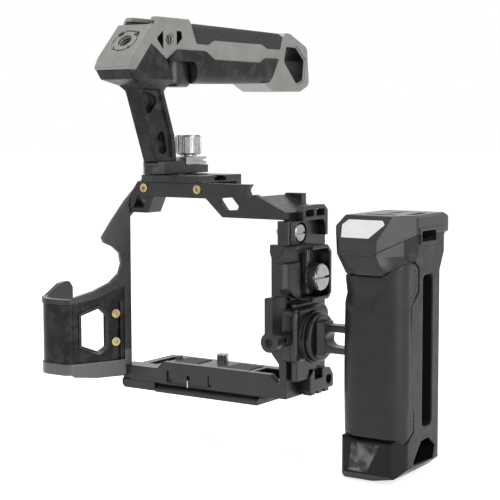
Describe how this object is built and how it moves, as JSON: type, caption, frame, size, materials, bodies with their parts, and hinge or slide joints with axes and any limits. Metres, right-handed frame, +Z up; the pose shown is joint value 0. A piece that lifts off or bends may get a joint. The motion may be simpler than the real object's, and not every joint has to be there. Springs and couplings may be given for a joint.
{
  "type": "camera cage",
  "caption": "Frame that bolts round a mirrorless camera, with a sliding top handle, a cable clamp, a grip wrap and a turning side handle on a quick-release rail clamp.",
  "frame": {"origin": "mouth of the tripod socket in the underside of the base plate, below the lens axis", "axes": "+X to the camera's left-hand side and the side handle, +Y from the lens to the back, +Z up"},
  "size_m": [0.2065, 0.1699, 0.2214],
  "materials": {
    "frame_black": "black anodised, satin",
    "titanium_grey": "titanium-grey anodised, satin",
    "bright_steel": "bright machined",
    "dark_steel": "blackened",
    "rainbow_screw": "yellow passivated",
    "forged_carbon": "mottled dark composite",
    "pad_rubber": "matt",
    "button_black": "smooth",
    "leather_black": "fine-grained",
    "blank_plate": "white"
  },
  "bodies": {
    "cage": {"base_plate": "frame_black", "dovetail_foot": "frame_black", "seat_pads": "pad_rubber", "locating_pin": "bright_steel", "side_plate": "frame_black", "lug_block": "frame_black", "strap_loop": "frame_black", "foot_block": "frame_black", "foot_stubs": "frame_black", "side_rail": "frame_black", "cable_frame": "frame_black", "cable_lock_screw": "dark_steel", "top_bridge": "frame_black", "beam_screws": "rainbow_screw", "top_shoe": "frame_black", "grip_wrap": "frame_black", "grip_panel": "forged_carbon", "wrap_screws": "rainbow_screw", "wrap_connector": "frame_black", "top_gusset": "frame_black"},
    "camera_screw": {"camera_screw": "bright_steel"},
    "lug_screw": {"lug_screw": "bright_steel"},
    "top_handle": {"handle_foot": "frame_black", "foot_tongue": "frame_black", "handle_strut": "forged_carbon", "handle_head": "titanium_grey", "shoe_spring": "bright_steel", "handle_spine": "titanium_grey", "handle_grip": "forged_carbon", "top_pad": "pad_rubber", "rear_loop": "titanium_grey"},
    "record_button": {"record_button": "button_black"},
    "handle_clamp_plate": {"handle_clamp_plate": "bright_steel"},
    "handle_knob": {"handle_knob": "bright_steel"},
    "cable_jaw": {"cable_jaw": "bright_steel"},
    "cable_knob": {"cable_knob": "bright_steel"},
    "side_clamp": {"clamp_body": "frame_black"},
    "clamp_jaw": {"clamp_jaw": "frame_black"},
    "clamp_lever": {"clamp_lever": "frame_black", "lever_screw": "dark_steel"},
    "turning_arm": {"arm_hub": "frame_black", "arm_bar": "frame_black", "pivot_screw": "bright_steel"},
    "side_handle": {"handle_core": "forged_carbon", "leather_pad": "leather_black", "back_grip": "pad_rubber", "reach_bolt": "dark_steel", "handle_neck": "frame_black", "head_cap": "frame_black", "label_plate": "blank_plate", "base_insert": "forged_carbon"}
  },
  "joints": [
    {"name": "camera_screw_turn", "type": "hinge", "parent": "cage", "child": "camera_screw", "pos_m": [0, 0.0098, 0.008], "axis": [0, 0, 1], "continuous": true},
    {"name": "lug_screw_turn", "type": "hinge", "parent": "cage", "child": "lug_screw", "pos_m": [0.061, -0.012, 0.0862], "axis": [1, 0, 0], "continuous": true},
    {"name": "top_handle_slide", "type": "slide", "parent": "cage", "child": "top_handle", "axis": [1, 0, 0], "range_m": [-0.002, 0.02]},
    {"name": "record_press", "type": "slide", "parent": "top_handle", "child": "record_button", "axis": [0, 0, 1], "range_m": [0, 0.001], "stiffness_N_per_m": 900, "springref_m": -0.0005},
    {"name": "handle_knob_lift", "type": "slide", "parent": "top_handle", "child": "handle_clamp_plate", "axis": [0, 0, 1], "range_m": [0, 0.0016]},
    {"name": "handle_knob_turn", "type": "hinge", "parent": "handle_clamp_plate", "child": "handle_knob", "pos_m": [-0.024, 0.0126, 0.125], "axis": [0, 0, 1], "range_deg": [0, 720]},
    {"name": "cable_jaw_slide", "type": "slide", "parent": "cage", "child": "cable_jaw", "axis": [1, 0, 0], "range_m": [0, 0.0014]},
    {"name": "cable_knob_turn", "type": "hinge", "parent": "cable_jaw", "child": "cable_knob", "pos_m": [0.068, -0.0074, 0.0646], "axis": [1, 0, 0], "range_deg": [0, 720]},
    {"name": "side_clamp_slide", "type": "slide", "parent": "cage", "child": "side_clamp", "axis": [0, 0, 1], "range_m": [-0.005, 0.0015]},
    {"name": "clamp_jaw_slide", "type": "slide", "parent": "side_clamp", "child": "clamp_jaw", "axis": [0, -1, 0], "range_m": [0, 0.0008]},
    {"name": "clamp_lever_turn", "type": "hinge", "parent": "side_clamp", "child": "clamp_lever", "pos_m": [0.063, -0.038, 0.036], "axis": [0, 1, 0], "range_deg": [0, 150]},
    {"name": "handle_rotation", "type": "hinge", "parent": "side_clamp", "child": "turning_arm", "pos_m": [0.0713, -0.0105, 0.0355], "axis": [1, 0, 0], "continuous": true},
    {"name": "handle_reach", "type": "slide", "parent": "turning_arm", "child": "side_handle", "axis": [1, 0, 0], "range_m": [-0.008, 0]}
  ],
  "couplings": [
    {"joint": "handle_knob_turn", "follows": "handle_knob_lift", "rad_per_m": 7853.2},
    {"joint": "cable_knob_turn", "follows": "cable_jaw_slide", "rad_per_m": 8975.1},
    {"joint": "clamp_lever_turn", "follows": "clamp_jaw_slide", "rad_per_m": 3272.2}
  ]
}
